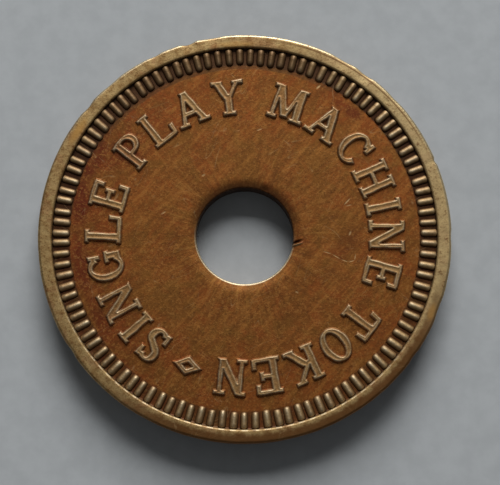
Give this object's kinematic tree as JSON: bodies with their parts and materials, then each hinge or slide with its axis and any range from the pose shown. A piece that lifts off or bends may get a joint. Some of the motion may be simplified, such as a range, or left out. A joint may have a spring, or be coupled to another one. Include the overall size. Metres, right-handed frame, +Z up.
{
  "type": "machine token",
  "caption": "Round struck brass token with raised rims, a ring of denticles and a raised legend on each face, a plain edge and a round centre hole.",
  "frame": {"origin": "middle of the hole in the plane of the reverse rim, which the token rests on", "axes": "+Z up through the hole towards the obverse, +Y towards the top of the obverse, +X to the right of it"},
  "size_m": [0.0212, 0.0212, 0.0018],
  "materials": {
    "toned_brass": "struck yellow brass that has toned to an orange brown, with fine handling scratches",
    "rubbed_brass": "the same brass where handling has rubbed the raised work to a dull olive gold"
  },
  "bodies": {
    "root": {"blank": "toned_brass", "obverse_denticles": "rubbed_brass", "obverse_legend": "rubbed_brass", "obverse_stop": "rubbed_brass", "reverse_denticles": "rubbed_brass", "reverse_legend": "rubbed_brass", "reverse_stop": "rubbed_brass"}
  },
  "joints": []
}
